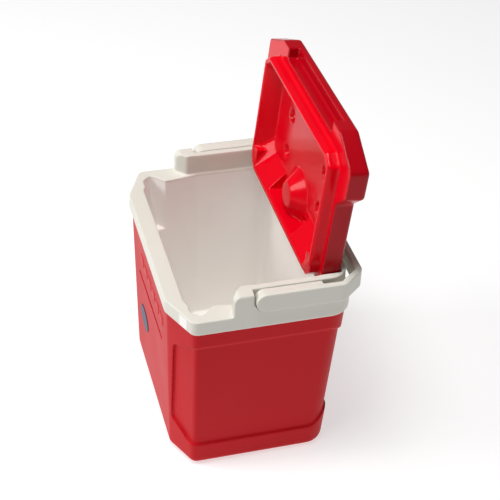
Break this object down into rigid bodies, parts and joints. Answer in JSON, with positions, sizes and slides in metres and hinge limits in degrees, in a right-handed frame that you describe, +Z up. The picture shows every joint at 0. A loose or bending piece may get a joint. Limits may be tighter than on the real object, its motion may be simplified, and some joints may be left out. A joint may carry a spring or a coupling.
{
  "type": "small hard cooler",
  "caption": "Small hard-sided cooler with faceted front corners, a hinged lid with a finger notch, and a bail handle that folds down behind it.",
  "frame": {"origin": "on the underside of the base, under the middle of the rim's length, where the cooler stands", "axes": "+X along the length towards the right-hand end seen from the front, +Y from the front towards the hinge, +Z up"},
  "size_m": [0.37, 0.2595, 0.5093],
  "materials": {
    "body_red": "satin",
    "lid_red": "satin",
    "rim_white": "satin",
    "foam": "matte",
    "pin_steel": "satin",
    "print": "satin"
  },
  "bodies": {
    "base": {"outer_body": "body_red", "body_foam": "foam", "liner_rim": "rim_white", "hinge_pin_left": "pin_steel", "hinge_pin_right": "pin_steel", "front_emblem": "print"},
    "lid": {"lid_shell": "lid_red", "lid_liner": "lid_red", "lid_foam": "foam"},
    "handle": {"bail_handle": "rim_white"}
  },
  "joints": [
    {"name": "lid_hinge", "type": "hinge", "parent": "base", "child": "lid", "pos_m": [0, 0.0953, 0.2932], "axis": [1, 0, 0], "range_deg": [0, 95.5]},
    {"name": "handle_swing", "type": "hinge", "parent": "base", "child": "handle", "pos_m": [0, 0.001, 0.2995], "axis": [1, 0, 0], "range_deg": [0, 20]}
  ]
}
